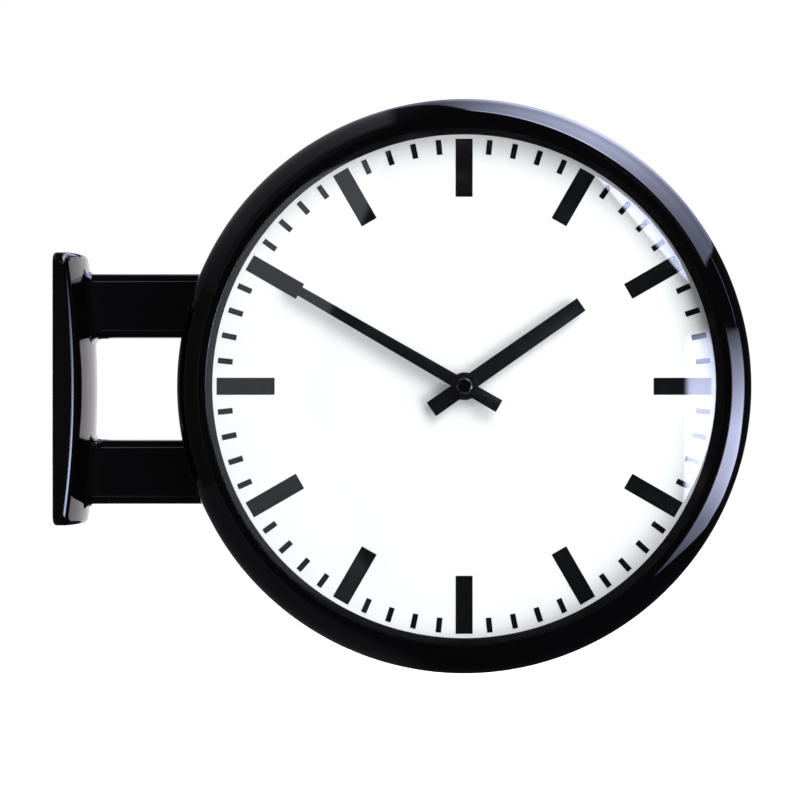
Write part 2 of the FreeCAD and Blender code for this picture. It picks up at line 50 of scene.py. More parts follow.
def leaveAll():
    if bpy.context.object and bpy.context.object.mode != "OBJECT":
        bpy.ops.object.mode_set(mode="OBJECT")
    bpy.ops.object.select_all(action="DESELECT")


def pick(piece):
    leaveAll()
    piece.select_set(True)
    bpy.context.view_layer.objects.active = piece


def settle(piece):
    # puts the place, turn and size of an object into its mesh
    pick(piece)
    bpy.ops.object.transform_apply(location=True, rotation=True, scale=True)


def named(piece, name):
    piece.name = name
    piece.data.name = name
    return piece


def editAll(piece):
    pick(piece)
    bpy.ops.object.mode_set(mode="EDIT")
    bpy.ops.mesh.select_all(action="SELECT")


def smooth(piece, angle=32):
    pick(piece)
    bpy.ops.object.shade_smooth_by_angle(angle=math.radians(angle))


def chooseNone(piece, kind):
    # leaves nothing of the mesh selected, in object mode, so that single parts can be
    pick(piece)
    bpy.ops.object.mode_set(mode="EDIT")
    bpy.ops.mesh.select_mode(type=kind)
    bpy.ops.mesh.select_all(action="DESELECT")
    bpy.ops.object.mode_set(mode="OBJECT")


def chooseVertices(piece, test):
    # selects the vertices whose place passes the test, and goes back into edit mode
    chooseNone(piece, "VERT")
    for vertex in piece.data.vertices:
        vertex.select = test(vertex.co)
    bpy.ops.object.mode_set(mode="EDIT")


def chooseFaces(piece, test):
    chooseNone(piece, "FACE")
    for face in piece.data.polygons:
        face.select = test(face.center, face.normal)
    bpy.ops.object.mode_set(mode="EDIT")


def chooseEdges(piece, test):
    chooseNone(piece, "EDGE")
    points = piece.data.vertices
    for edge in piece.data.edges:
        first, second = (points[k].co for k in edge.vertices)
        edge.select = test(first, second)
    bpy.ops.object.mode_set(mode="EDIT")


def join(pieces, name):
    leaveAll()
    for piece in pieces:
        piece.select_set(True)
    bpy.context.view_layer.objects.active = pieces[0]
    bpy.ops.object.join()
    return named(bpy.context.object, name)


def carve(piece, cutter, operation="DIFFERENCE"):
    pick(piece)
    tool = piece.modifiers.new("carve", "BOOLEAN")
    tool.operation = operation
    tool.solver = "EXACT"
    tool.object = cutter
    bpy.ops.object.modifier_apply(modifier=tool.name)
    pick(cutter)
    bpy.ops.object.delete()


def thicken(piece, wall):
    pick(piece)
    tool = piece.modifiers.new("wall", "SOLIDIFY")
    tool.thickness = wall
    tool.offset = -1
    tool.use_even_offset = True
    bpy.ops.object.modifier_apply(modifier=tool.name)


def arc(centre, radius, start, end, count):
    # points of an arc, angles in degrees from the first axis
    points = []
    for k in range(count + 1):
        turn = math.radians(start + (end - start) * k / count)
        points.append((centre[0] + radius * math.cos(turn), centre[1] + radius * math.sin(turn)))
    return points


def eased(corners, steps=3):
    # closed outline of (r, d, rounding) corners, with each corner eased by its rounding
    outline = []
    for k, corner in enumerate(corners):
        r, d = corner[0], corner[1]
        ease = corner[2] if len(corner) > 2 else 0
        if not ease:
            outline.append((r, d))
            continue
        before, after = corners[k - 1], corners[(k + 1) % len(corners)]
        reach = []
        for other in (before, after):
            away = math.hypot(other[0] - r, other[1] - d)
            reach.append((r + (other[0] - r) * ease / away, d + (other[1] - d) * ease / away))
        for n in range(steps + 1):
            t = n / steps
            weights = ((1 - t) ** 2, 2 * t * (1 - t), t * t)
            points = (reach[0], (r, d), reach[1])
            outline.append(tuple(sum(w * p[i] for w, p in zip(weights, points)) for i in (0, 1)))
    return outline


def spun(name, outline, steps=256, closed=True, at=(0, 0)):
    # an outline of (r, d) points in millimetres, spun round the clock's axis or one beside it
    axisX, axisZ = clock["x"] + at[0] * mm, clock["z"] + at[1] * mm
    points = list(outline) + ([outline[0]] if closed else [])
    leaveAll()
    bpy.ops.mesh.primitive_plane_add(
        size=0.0001, location=(axisX + points[0][0] * mm, -points[0][1] * mm, axisZ)
    )
    piece = named(bpy.context.object, name)
    bpy.ops.object.mode_set(mode="EDIT")
    bpy.ops.mesh.select_mode(type="VERT")
    bpy.ops.mesh.select_all(action="SELECT")
    bpy.ops.mesh.merge(type="CENTER")
    for (r0, d0), (r1, d1) in zip(points, points[1:]):
        bpy.ops.mesh.extrude_vertices_move(
            TRANSFORM_OT_translate={"value": ((r1 - r0) * mm, (d0 - d1) * mm, 0)}
        )
    bpy.ops.mesh.select_all(action="SELECT")
    bpy.ops.mesh.spin(steps=steps, angle=2 * math.pi, center=(axisX, 0, axisZ), axis=(0, 1, 0))
    bpy.ops.mesh.select_all(action="SELECT")
    bpy.ops.mesh.remove_doubles(threshold=0.000002)
    bpy.ops.mesh.normals_make_consistent(inside=False)
    settle(piece)
    smooth(piece)
    return piece


def rearTwin(piece, name):
    # the rear half is the front half turned half a turn about the upright through the clock
    pick(piece)
    bpy.ops.object.duplicate(linked=False)
    twin = named(bpy.context.object, name)
    editAll(twin)
    bpy.ops.transform.rotate(value=math.pi, orient_axis="Z", center_override=(clock["x"], 0, 0))
    leaveAll()
    return twin


def place(piece, body, node, finish):
    piece.data.materials.clear()
    piece.data.materials.append(finish)
    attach(piece, body)
    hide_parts(node)


def bothSides(piece, label, node, body, finish):
    # gives the piece to the front clock and a twin of it to the rear one
    named(piece, "front" + label)
    twin = rearTwin(piece, "rear" + label)
    place(piece, "front_" + body, "front_" + node, finish)
    place(twin, "rear_" + body, "rear_" + node, finish)
    print("made", label, "for both sides,", len(piece.data.polygons), "faces each")


# helpers for shaders

class Wire:  # one output that can be used in sums
    def __init__(self, recipe, node, output):
        self.recipe, self.node, self.output = recipe, node, output

    def take(self, output):
        return Wire(self.recipe, self.node, output)

    def sum(self, operation, first, second):
        return self.recipe.add("ShaderNodeMath", {"operation": operation}, {0: first, 1: second})

    def __add__(self, other):
        return self.sum("ADD", self, other)

    def __radd__(self, other):
        return self.sum("ADD", other, self)

    def __sub__(self, other):
        return self.sum("SUBTRACT", self, other)

    def __rsub__(self, other):
        return self.sum("SUBTRACT", other, self)

    def __mul__(self, other):
        return self.sum("MULTIPLY", self, other)

    def __rmul__(self, other):
        return self.sum("MULTIPLY", other, self)


class Recipe:  # the nodes of one finish
    def __init__(self, owner):
        owner.use_nodes = True
        self.owner, self.tree = owner, owner.node_tree
        self.tree.nodes.clear()

    def add(self, kind, settings=None, inputs=None, output=0):
        node = self.tree.nodes.new(kind)
        for key, value in (settings or {}).items():
            if key == "stops":
                ramp = node.color_ramp
                while len(ramp.elements) < len(value):
                    ramp.elements.new(0.5)
                for stop, (position, colour) in zip(ramp.elements, value):
                    stop.position, stop.color = position, (*colour, 1)
            else:
                setattr(node, key, value)
        for key, value in (inputs or {}).items():
            socket = node.inputs[key]
            if isinstance(value, Wire):
                self.tree.links.new(value.node.outputs[value.output], socket)
            elif socket.type == "RGBA" and len(value) == 3:
                socket.default_value = (*value, 1)
            else:
                socket.default_value = value
        return Wire(self, node, output)

    def place(self, size=(1, 1, 1), centre=(0, 0, 0), turn=(0, 0, 0)):
        here = self.add("ShaderNodeTexCoord").take("Object")
        shift = tuple(-c * s for c, s in zip(centre, size))
        sockets = {"Vector": here, "Location": shift, "Rotation": turn, "Scale": size}
        return self.add("ShaderNodeMapping", {}, sockets)

    def noise(self, vector, scale, detail=2.0, roughness=0.5):
        sockets = {"Vector": vector, "Scale": scale, "Detail": detail, "Roughness": roughness}
        return self.add("ShaderNodeTexNoise", {}, sockets)

    def waves(self, vector, scale, settings, distortion=0.0):
        sockets = {"Vector": vector, "Scale": scale, "Distortion": distortion}
        return self.add("ShaderNodeTexWave", settings, sockets, "Fac")

    def cells(self, vector, scale, feature="F1"):
        return self.add("ShaderNodeTexVoronoi", {"feature": feature}, {"Vector": vector, "Scale": scale})

    def step(self, value, low, high, first=0.0, last=1.0):
        return self.add(
            "ShaderNodeMapRange",
            {"interpolation_type": "SMOOTHSTEP"},
            {"Value": value, "From Min": low, "From Max": high, "To Min": first, "To Max": last},
        )

    def blend(self, factor, first, second):
        return self.add("ShaderNodeMix", {"data_type": "RGBA"}, {0: factor, 6: first, 7: second}, 2)

    def bump(self, height, distance, strength=1.0):
        return self.add("ShaderNodeBump", {}, {"Height": height, "Distance": distance, "Strength": strength})

    def surface(self, **sockets):
        inputs = {key.replace("_", " "): value for key, value in sockets.items()}
        return self.add("ShaderNodeBsdfPrincipled", {}, inputs)

    def glow(self, colour, strength):
        return self.add("ShaderNodeEmission", {}, {"Color": colour, "Strength": strength})

    def mix(self, factor, first, second):
        return self.add("ShaderNodeMixShader", {}, {0: factor, 1: first, 2: second})

    def sky(self, colour, strength):
        return self.add("ShaderNodeBackground", {}, {"Color": colour, "Strength": strength})

    def scaled(self, colour, level):
        return self.add("ShaderNodeVectorMath", {"operation": "SCALE"}, {0: colour, 3: level})

    def finish(self, shader):
        world = isinstance(self.owner, bpy.types.World)
        self.add("ShaderNodeOutputWorld" if world else "ShaderNodeOutputMaterial", {}, {"Surface": shader})
        return self.owner


def newFinish(name):
    return Recipe(bpy.data.materials.new(name))


# finishes

lacquer = {
    "black": (0.0006, 0.0006, 0.0008), "haze": (0.001, 0.001, 0.0013), "dust": (0.02, 0.02, 0.022),
    "gloss": 0.025, "wiped": 0.03, "dusty": 0.25, "coat": 0.6, "coatGloss": 0.01, "wave": 0.00006,
}


def glossBlack():
    # deep black moulded gloss: slow waves of the moulding, faint wipe marks and specks of dust
    make = newFinish("glossBlack")
    here = make.place()
    wipe = make.noise(make.place((1, 1, 7), turn=(0.4, 0.2, 0.5)), 60, 3)
    speck = make.step(make.cells(here, 420).take("Distance"), 0.10, 0.05)
    haze = make.noise(here, 14, 2)
    rough = lacquer["gloss"] + lacquer["wiped"] * make.step(wipe, 0.5, 0.8)
    rough = rough + lacquer["dusty"] * speck * make.step(haze, 0.5, 0.7)
    wave = make.noise(here, 26, 1.0)
    colour = make.blend(make.step(haze, 0.3, 0.7, 0, 1), lacquer["black"], lacquer["haze"])
    colour = make.blend(speck * make.step(haze, 0.55, 0.75) * 0.5, colour, lacquer["dust"])
    return make.finish(
        make.surface(
            Base_Color=colour,
            Roughness=rough,
            Coat_Weight=lacquer["coat"],
            Coat_Roughness=lacquer["coatGloss"],
            Normal=make.bump(wave, lacquer["wave"], 1.0),
        )
    )


pane = {
    "tint": (0.985, 0.995, 0.99), "ior": 1.46, "clear": (0.97, 0.98, 0.98),
    "dirt": (0.8, 0.8, 0.82), "dust": 0.22, "smear": 0.006,
}


def clearLens():
    # clear pane that lets lamp light through, with a trace of dust
    make = newFinish("clearLens")
    here = make.place()
    dust = make.step(make.cells(here, 330).take("Distance"), 0.07, 0.02)
    dust = dust * make.step(make.noise(here, 18), 0.5, 0.75)
    smear = make.step(make.noise(make.place((1, 1, 3), turn=(0, 0.6, 0)), 22, 3), 0.5, 0.9)
    glass = make.surface(Base_Color=pane["tint"], Roughness=0.0, IOR=pane["ior"], Transmission_Weight=1.0)
    dirt = make.surface(Base_Color=pane["dirt"], Roughness=0.8)
    surface = make.mix(dust * pane["dust"] + smear * pane["smear"], glass, dirt)
    path = make.add("ShaderNodeLightPath")
    through = path.take("Is Shadow Ray") + path.take("Is Diffuse Ray")
    clear = make.add("ShaderNodeBsdfTransparent", {}, {"Color": pane["clear"]})
    return make.finish(make.mix(through, surface, clear))


dialPaint = {
    "white": (0.945, 0.945, 0.95), "cloud": (0.925, 0.925, 0.935), "fleck": (0.72, 0.72, 0.72),
    "gloss": 0.42, "grain": 0.00001,
}


def whiteDial():
    # sprayed white plate: very fine grain, faint clouds, a few specks
    make = newFinish("whiteDial")
    here = make.place()
    cloud = make.step(make.noise(here, 22, 3), 0.35, 0.7)
    grain = make.noise(here, 2600, 2)
    fleck = make.step(make.cells(here, 160).take("Distance"), 0.035, 0.02)
    colour = make.blend(cloud, dialPaint["white"], dialPaint["cloud"])
    colour = make.blend(fleck * 0.25, colour, dialPaint["fleck"])
    return make.finish(
        make.surface(
            Base_Color=colour,
            Roughness=dialPaint["gloss"] + 0.12 * grain,
            Normal=make.bump(grain, dialPaint["grain"], 0.5),
        )
    )


ink = {
    "black": (0.0018, 0.0018, 0.0022), "thin": (0.0038, 0.0038, 0.0045),
    "gloss": 0.38, "specular": 0.1, "mesh": 0.000008,
}


def printInk():
    # screen-printed bars: thick black ink with a faint mesh and slightly thin spots
    make = newFinish("printInk")
    here = make.place()
    thin = make.step(make.noise(here, 900, 3), 0.45, 0.75)
    mesh = make.waves(here, 800.0, {"wave_type": "BANDS", "bands_direction": "DIAGONAL"}, 2.0)
    return make.finish(
        make.surface(
            Base_Color=make.blend(thin, ink["black"], ink["thin"]),
            Roughness=ink["gloss"] + 0.12 * mesh,
            Specular_IOR_Level=ink["specular"],
            Normal=make.bump(mesh + thin, ink["mesh"], 0.4),
        )
    )


handCoat = {
    "black": (0.004, 0.004, 0.0045), "worn": (0.012, 0.012, 0.013),
    "gloss": 0.32, "specular": 0.12, "peel": 0.000012,
}


def handBlack():
    # stamped hands with a thin satin lacquer that is a little worn in places
    make = newFinish("handBlack")
    here = make.place()
    peel = make.noise(here, 1800, 2)
    worn = make.step(make.noise(here, 400, 3), 0.62, 0.75) * 0.6
    return make.finish(
        make.surface(
            Base_Color=make.blend(worn, handCoat["black"], handCoat["worn"]),
            Roughness=handCoat["gloss"] + 0.12 * peel,
            Specular_IOR_Level=handCoat["specular"],
            Normal=make.bump(peel, handCoat["peel"], 0.5),
        )
    )


plastics = {
    "blackMoulding": {
        "colour": (0.0015, 0.0015, 0.0018), "flow": (0.0025, 0.0025, 0.003),
        "rough": 0.7, "specular": 0.03, "grain": 1500, "relief": 0.00002,
    },
    "movementBlack": {
        "colour": (0.0055, 0.0055, 0.006), "flow": (0.0085, 0.0085, 0.009),
        "rough": 0.5, "specular": 0.5, "grain": 1500, "relief": 0.00002,
    },
    "ivoryMoulding": {
        "colour": (0.78, 0.73, 0.61), "flow": (0.7, 0.65, 0.53),
        "rough": 0.36, "specular": 0.5, "grain": 2600, "relief": 0.00001,
    },
}


def mouldedPlastic(name):
    # moulded plastic: fine spark-eroded grain and slow flow clouds
    facts = plastics[name]
    make = newFinish(name)
    here = make.place()
    grain = make.noise(here, facts["grain"], 3, 0.6)
    flow = make.step(make.noise(make.place((1, 1, 2.5)), 45, 3), 0.35, 0.7)
    return make.finish(
        make.surface(
            Base_Color=make.blend(flow, facts["colour"], facts["flow"]),
            Roughness=facts["rough"] + 0.14 * grain,
            Specular_IOR_Level=facts["specular"],
            Normal=make.bump(grain, facts["relief"], 0.7),
        )
    )


steels = {
    "softSteel": {
        "bright": (0.56, 0.57, 0.58), "dull": (0.44, 0.45, 0.46), "metal": 0.6, "rough": 0.3, "lines": 260,
    },
    "zincSteel": {
        "bright": (0.56, 0.58, 0.6), "dull": (0.44, 0.46, 0.5), "metal": 0.5, "rough": 0.34, "lines": 120,
    },
    "screwSteel": {
        "bright": (0.34, 0.35, 0.37), "dull": (0.24, 0.25, 0.27), "metal": 0.6, "rough": 0.3, "lines": 320,
    },
}
pit = {"scale": 500, "dark": 0.55, "share": 0.35, "metalLoss": 0.25, "relief": 0.00003}


def platedSteel(name):
    # rolled sheet under plating: long fine lines, cloudy patches and small pits
    facts = steels[name]
    make = newFinish(name)
    here = make.place()
    lines = make.noise(make.place((9, 9, 0.6)), facts["lines"], 4, 0.65)
    patch = make.step(make.noise(here, 55, 4), 0.35, 0.65)
    pits = make.step(make.cells(here, pit["scale"]).take("Distance"), 0.12, 0.04)
    colour = make.blend(patch, facts["bright"], facts["dull"])
    colour = make.blend(pits * pit["share"], colour, tuple(pit["dark"] * c for c in facts["dull"]))
    return make.finish(
        make.surface(
            Base_Color=colour,
            Metallic=facts["metal"] - pit["metalLoss"] * pits,
            Roughness=facts["rough"] + 0.2 * lines + 0.1 * patch,
            Normal=make.bump(lines - pits * 0.5, pit["relief"], 0.5),
        )
    )


brass = {"bright": (0.62, 0.42, 0.13), "stain": (0.46, 0.28, 0.08), "metal": 0.75, "gloss": 0.26}


def turnedBrass():
    # turned brass: tool rings round the clock's axis and light tarnish
    make = newFinish("turnedBrass")
    here = make.place((1, 0.001, 1), (clock["x"], 0, clock["z"]))
    rings = make.waves(here, 1400.0, {"wave_type": "RINGS", "rings_direction": "SPHERICAL"}, 1.5)
    stain = make.step(make.noise(make.place(), 260, 3), 0.4, 0.75)
    return make.finish(
        make.surface(
            Base_Color=make.blend(stain, brass["bright"], brass["stain"]),
            Metallic=brass["metal"] - 0.15 * stain,
            Roughness=brass["gloss"] + 0.14 * rings + 0.12 * stain,
            Normal=make.bump(rings, 0.00001, 0.5),
        )
    )


board = {
    "resist": (0.009, 0.105, 0.034), "weave": (0.014, 0.14, 0.05), "track": (0.03, 0.21, 0.075),
    "thread": 420.0, "gloss": 0.3, "relief": 0.00004,
}


def greenBoard():
    # circuit board: green resist over tracks, with the weave of the glass cloth
    make = newFinish("greenBoard")
    here = make.place()
    across = make.waves(here, board["thread"], {"wave_type": "BANDS", "bands_direction": "X"})
    along = make.waves(here, board["thread"], {"wave_type": "BANDS", "bands_direction": "Z"})
    cells = make.cells(make.place((1, 0.001, 1)), 330, "DISTANCE_TO_EDGE").take("Distance")
    track = make.step(cells, 0.09, 0.13, 1, 0)
    colour = make.blend(across * along * 0.4, board["resist"], board["weave"])
    colour = make.blend(track * 0.7, colour, board["track"])
    return make.finish(
        make.surface(
            Base_Color=colour,
            Roughness=board["gloss"] + 0.1 * across,
            Normal=make.bump(track + across * along * 0.3, board["relief"], 0.6),
        )
    )


copper = {"bright": (0.52, 0.17, 0.045), "dark": (0.34, 0.09, 0.02), "turns": 1500.0}


def copperWire():
    # the coil's turns run round an upright core
    make = newFinish("copperWire")
    settings = {"wave_type": "BANDS", "bands_direction": "Z", "wave_profile": "SIN"}
    turns = make.waves(make.place(), copper["turns"], settings, 0.6)
    dark = make.step(make.noise(make.place(), 300, 2), 0.4, 0.7)
    return make.finish(
        make.surface(
            Base_Color=make.blend(dark, copper["bright"], copper["dark"]),
            Metallic=0.55 + 0.2 * turns,
            Roughness=0.3 + 0.2 * (1 - turns),
            Normal=make.bump(turns, 0.00006, 0.8),
        )
    )


# the battery's jacket, with places along the cell in metres from its middle towards its plus end
cell = {
    "jacket": (0.03, 0.12, 0.31), "band": (0.62, 0.64, 0.66),
    # the crease colour is painted shade for the jacket's wrinkles
    "creaseAndShade": (0.02, 0.05, 0.12), "metal": (0.5, 0.5, 0.5),
    "bandFoot": 0.0118, "bandFull": 0.0121, "bandTop": 0.0234, "plusEnd": 0.0236, "minusEnd": -0.0246,
    "fade": 0.0002, "gloss": 0.26,
}


def cellJacket():
    # plain shrunk jacket in two colours, bare metal at the ends, with painted shade darkening its creases
    make = newFinish("cellJacket")
    here = make.place()
    spot = make.add("ShaderNodeSeparateXYZ", {}, {0: make.place(centre=(clock["x"], 0, 0))})
    along = spot.take("X") * make.step(spot.take("Y"), -0.001, 0.001, 1, -1)
    band = make.step(along, cell["bandFoot"], cell["bandFull"])
    band = band * make.step(along, cell["bandTop"], cell["plusEnd"], 1, 0)
    ends = make.step(along, cell["plusEnd"], cell["plusEnd"] + cell["fade"])
    ends = ends + make.step(along, cell["minusEnd"] - cell["fade"], cell["minusEnd"], 1, 0)
    creaseAndShade = make.noise(make.place((0.3, 2, 2)), 300, 3)
    colour = make.blend(band, cell["jacket"], cell["band"])
    # painted shade: where the wrinkle noise is high the jacket is darkened in colour, on top of its bump
    colour = make.blend(make.step(creaseAndShade, 0.55, 0.8) * 0.3, colour, cell["creaseAndShade"])
    colour = make.blend(ends, colour, cell["metal"])
    return make.finish(
        make.surface(
            Base_Color=colour,
            Metallic=0.15 + 0.5 * ends,
            Roughness=cell["gloss"] + 0.18 * creaseAndShade,
            Normal=make.bump(creaseAndShade, 0.00005, 0.5),
        )
    )


# the studio: what lights the object, what its gloss reflects and what lies behind it

white = (1.0, 1.0, 1.0)

# a lamp has its angle on the clock and its power, and a list of levels runs over even steps of that angle
studio = {
    "fill": 0.32,
    "lamps": {"UpperLamp": (30.0, 65.0), "SideLamp": (103.0, 61.0)},
    "lampFar": 2.7,
    "lampTilt": 50.0,
    "lampSize": 1.8,
    "tint": (0.93, 1.0, 1.42),
    "upperBox": (0.9, 2.2, 3.7, 4.8, 5.6, 4.7, 3.0, 1.9, 1.4),
    "upperNear": 8.5,
    "sideBox": (0.6, 4.2, 8.6, 7.0, 2.4, 0.9),
    "sideNear": (5.5, 8.5, 13.0, 17.0, 18.0, 18.0),
    "sideGap": 0.7,
    "slit": 1.6,
    "lensShade": 0.85,
    "wallTint": (0.95, 0.96, 1.08),
    "darkRoom": 0.02,
    "leftRoom": 0.055,
    "veil": (0.05, 0.25, 0.45, 0.5, 0.55, 0.75, 0.78),
    "glow": (0.0, 0.1, 0.13, 0.2, 0.29),
}

# the planes through the clock that bound the soft boxes, as weights of x, y and z
planes = {
    "upperLeft": (1, 0.16, 0), "upperRight": (-0.469, -0.021, 0.883), "upperInset": (4.38, 3.12, 1),
    "upperInLens": (1.157, 0.431, 1), "sideTop": (0.2079, 0, -0.9781), "sideFoot": (0.588, 0, 0.809),
    "sideLeft": (1, 0.267, 0),
}


def radians(*degrees):
    return [math.radians(d) for d in degrees]


def fan(make, theta, start, end, levels):
    # a level that follows the clock angle between two angles in degrees
    first, last = radians(start, end)
    spot = make.add("ShaderNodeMapRange", {}, {"Value": theta, "From Min": first, "From Max": last})
    top = max(levels)
    stops = [(k / (len(levels) - 1), (level / top,) * 3) for k, level in enumerate(levels)]
    return make.add("ShaderNodeValToRGB", {"stops": stops}, {0: spot}) * top


def window(make, value, foot, full, end, gone):
    # rises between the first two values and falls between the last two
    return make.step(value, foot, full) * make.step(value, end, gone, 1, 0)


def studioWorld():
    world = bpy.data.worlds.new("studio")
    bpy.context.scene.world = world
    make = Recipe(world)
    look = make.add("ShaderNodeTexCoord").take("Generated")
    parts = make.add("ShaderNodeSeparateXYZ", {}, {0: look})
    x, y, z = parts.take("X"), parts.take("Y"), parts.take("Z")
    theta = make.add("ShaderNodeMath", {"operation": "ARCTAN2"}, {0: x, 1: z})
    reach = {
        name: make.add("ShaderNodeVectorMath", {"operation": "DOT_PRODUCT"}, {0: look, 1: weights}, "Value")
        for name, weights in planes.items()
    }

    # perfectly sharp gloss shows the boxes fainter, so that the lens doesn't hide the dial at a slant. The cap
    # keeps them: its rays have crossed the pane, which their transmission depth tells
    path = make.add("ShaderNodeLightPath")
    outside = make.step(path.take("Transmission Depth"), 2.2, 3.8, 1, 0)
    soft = 1 - studio["lensShade"] * path.take("Is Singular Ray") * outside

    # what the flat of the lens shows, and what only the round of the bezels shows
    near = make.step(y, -0.9585, -0.955, 1, 0)
    far = make.step(y, -0.92, -0.885)

    # the upper soft box, right of the middle and up to two o'clock, brighter along its inner edge
    edge = 1 + make.step(reach["upperInset"], -0.4, 0.0, 1.1, 0) * make.step(theta, *radians(30, 40), 1, 0)
    bright = make.step(reach["upperInset"], -0.55, -0.38) * make.step(y, 0.88, 0.9, 1, 0)
    bright = bright * make.step(y, -0.3, 0.5, 1.0, 0.42) * edge
    bright = bright * fan(make, theta, -4, 60, studio["upperBox"]) * soft
    inLens = near * make.step(reach["upperInLens"], -0.003, 0.004) * studio["upperNear"]
    upper = make.step(reach["upperLeft"], -0.045, -0.015) * make.step(reach["upperRight"], -0.008, 0.008)
    upper = upper * (bright + inLens)

    # the side soft box, from half past two to past four
    side = make.step(reach["sideTop"], -0.01, 0.01)
    side = side * make.step(reach["sideFoot"] - (0.211 * y + 0.139) * far, -0.01, 0.006)
    deep = window(make, theta, *radians(95, 105, 112, 118))
    side = side * make.step(reach["sideLeft"], -0.004, 0.006) * make.step(y - 0.16 * deep, -0.14, -0.01, 1, 0)
    bright = fan(make, theta, 78, 128, studio["sideBox"]) * far
    bright = soft * (bright + studio["sideGap"] * (1 - near - far))
    side = side * (bright + fan(make, theta, 78, 128, studio["sideNear"]) * near)

    # a thin gap of light between the two boxes
    slit = window(make, theta, *radians(62, 64, 76, 78)) * window(make, y, -0.25, -0.235, -0.215, -0.2)
    slit = slit * studio["slit"]

    # dim walls of the room, with a pale veil at the left of the lens and a glow beyond it
    room = studio["darkRoom"] + studio["leftRoom"] * make.step(0 - x, 0.03, 0.3)
    height = make.add("ShaderNodeMath", {"operation": "ABSOLUTE"}, {0: z})
    veil = make.step(0.352 * height - x + 0.1475 * y, -0.004, 0.006) * make.step(y, -0.966, -0.956, 1, 0)
    veil = veil * fan(make, theta, -170, -12, studio["veil"])
    glow = fan(make, theta, -68, -14, studio["glow"]) * make.step(y, -0.85, -0.6)
    glow = glow * make.step(theta, *radians(-15, -12), 1, 0)

    boxes = make.scaled(studio["tint"], upper + side + slit)
    walls = make.scaled(studio["wallTint"], room + veil + glow)
    mirror = make.add("ShaderNodeVectorMath", {"operation": "ADD"}, {0: boxes, 1: walls})
    direct = path.take("Is Camera Ray") + path.take("Is Transmission Ray")
    plain = make.mix(direct, make.sky(white, studio["fill"]), make.sky(white, 1.0))
    return make.finish(make.mix(path.take("Is Glossy Ray"), plain, make.sky(mirror, 1.0)))


studioWorld()

floorFacts = {
    "z": -0.42, "size": 30.0, "pale": (0.86, 0.86, 0.865), "cloud": (0.82, 0.82, 0.83),
    "rough": 0.85, "lift": 0.74,
}


def paleFloor():
    leaveAll()
    bpy.ops.mesh.primitive_grid_add(
        x_subdivisions=6, y_subdivisions=6, size=floorFacts["size"], location=(0, 0, floorFacts["z"])
    )
    floor = named(bpy.context.object, "paleFloor")
    settle(floor)
    make = newFinish("floorPaper")
    cloud = make.noise(make.place(), 3.0, 3)
    colour = make.blend(cloud * 0.2, floorFacts["pale"], floorFacts["cloud"])
    paper = make.surface(Base_Color=colour, Roughness=floorFacts["rough"])
    seen = make.add("ShaderNodeLightPath").take("Is Camera Ray")
    lift = make.glow(white, floorFacts["lift"] * seen)
    floor.data.materials.append(make.finish(make.add("ShaderNodeAddShader", {}, {0: paper, 1: lift})))
    # the room below the clock is dark in its gloss, and the floor neither lights the dials nor shades them
    floor.visible_glossy = floor.visible_transmission = floor.visible_diffuse = floor.visible_shadow = False


paleFloor()

# sheets that only the gloss shows: the pale wall behind the bracket, and flags that keep the soft boxes off it
# as the clock itself does in a real room. level is a sheet's light, and reach the shortest ray that meets it

sheetTint = (1.0, 0.97, 1.0)
sheets = {
    "paleCard": {"x": (0.012, 0.22), "y": (0.125, 0.125), "z": (-0.11, 0.11), "level": 0.85, "reach": 0.118},
    "clockFlag": {"x": (0.06, 0.06), "y": (-0.078, -0.014), "z": (-0.09, 0.09), "level": 0.02, "reach": 0.0},
    "rootFlag": {"x": (0.03, 0.03), "y": (-0.048, -0.028), "z": (-0.09, 0.09), "level": 0.02, "reach": 0.0},
    "wallFlag": {"x": (-0.01, -0.01), "y": (-0.3, -0.04), "z": (-0.09, 0.09), "level": 0.04, "reach": 0.0},
}


def makeSheet(name, facts):
    (x0, x1), (y0, y1), (z0, z1) = facts["x"], facts["y"], facts["z"]
    middle = ((x0 + x1) / 2, (y0 + y1) / 2, (z0 + z1) / 2)
    turn = (math.pi / 2, 0, 0) if y0 == y1 else (0, math.copysign(math.pi / 2, -x0), 0)
    leaveAll()
    bpy.ops.mesh.primitive_grid_add(x_subdivisions=2, y_subdivisions=2, size=1, location=middle, rotation=turn)
    sheet = named(bpy.context.object, name)
    sheet.scale = (x1 - x0, z1 - z0, 1) if y0 == y1 else (z1 - z0, y1 - y0, 1)
    settle(sheet)
    make = newFinish(name + "Paper")
    far = make.step(make.add("ShaderNodeLightPath").take("Ray Length"), facts["reach"] - mm, facts["reach"])
    shown = far * (1 - make.add("ShaderNodeNewGeometry").take("Backfacing"))
    light = make.glow(sheetTint, facts["level"])
    clear = make.add("ShaderNodeBsdfTransparent")
    sheet.data.materials.append(make.finish(make.mix(shown, clear, light)))
    sheet.visible_camera = sheet.visible_diffuse = sheet.visible_transmission = sheet.visible_shadow = False


for name, facts in sheets.items():
    makeSheet(name, facts)

# two lamps for each dial, at the angles on the clock where its gloss shows the soft boxes
for side, which in ((1, "front"), (-1, "rear")):
    for label, (angle, power) in studio["lamps"].items():
        tilt, turn = math.radians(studio["lampTilt"]), math.radians(angle)
        across, up = math.sin(tilt) * math.sin(turn), math.sin(tilt) * math.cos(turn)
        away = Vector((side * across, -side * math.cos(tilt), up))
        leaveAll()
        bpy.ops.object.light_add(type="AREA", location=Vector((clock["x"], 0, 0)) + away * studio["lampFar"])
        lamp = bpy.context.object
        lamp.name = which + label
        lamp.data.energy = power
        lamp.data.size = studio["lampSize"]
        lamp.rotation_euler = away.to_track_quat("Z", "Y").to_euler()
        lamp.visible_glossy = lamp.visible_transmission = False

